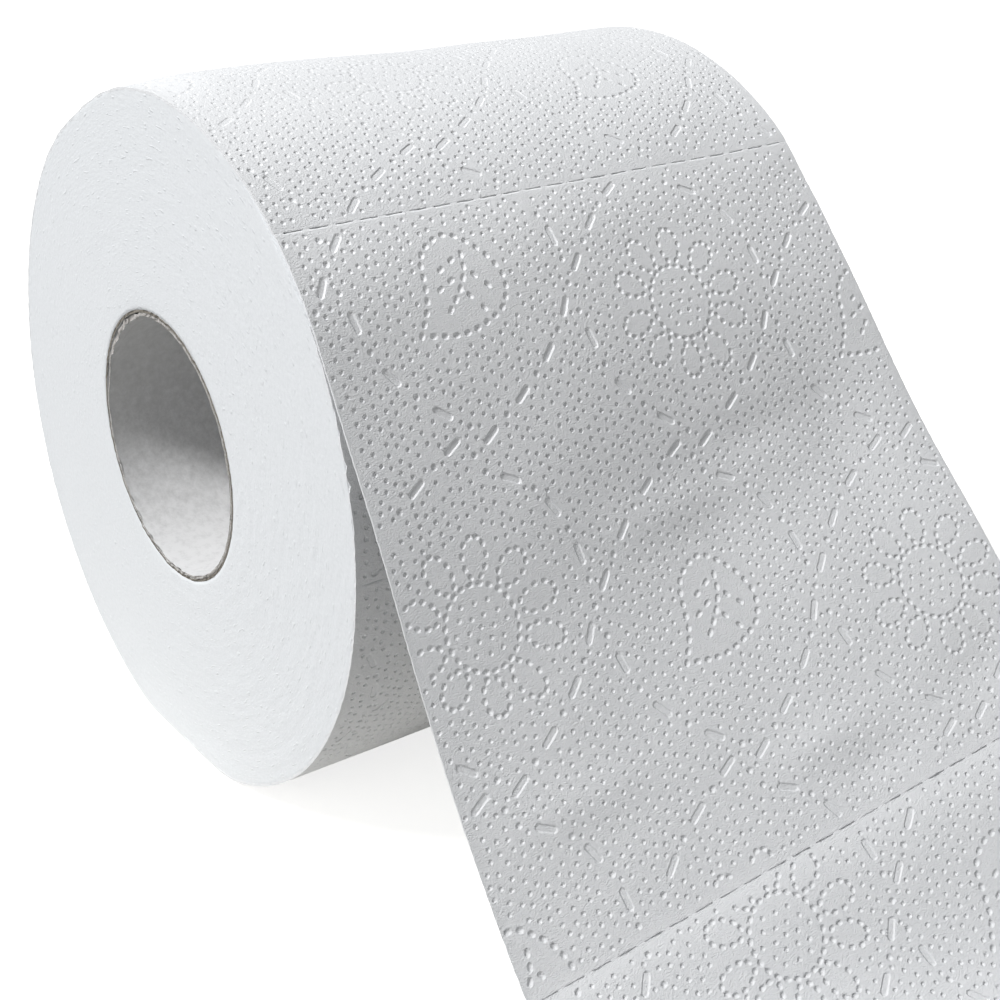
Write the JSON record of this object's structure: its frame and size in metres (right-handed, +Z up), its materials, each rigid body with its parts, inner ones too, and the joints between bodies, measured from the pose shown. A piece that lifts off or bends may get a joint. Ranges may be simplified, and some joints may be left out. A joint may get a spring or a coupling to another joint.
{
  "type": "toilet paper roll",
  "caption": "Soft roll of embossed, perforated paper on a spiral-wound cardboard core, lying on its side with its loose end draped over the front.",
  "frame": {"origin": "centre of the core's bore, half-way between the end faces", "axes": "+Y along the core from the near end face to the far one, +X towards the loose end, +Z up, with the roll lying on its flat spot"},
  "size_m": [0.2591, 0.096, 0.1149],
  "materials": {
    "paper": "soft white tissue with embossed dots, matt",
    "cardboard": "grey recycled board, matt"
  },
  "bodies": {
    "root": {"paper_web": "paper", "core_outer_ply": "cardboard", "core_inner_ply": "cardboard"}
  },
  "joints": []
}
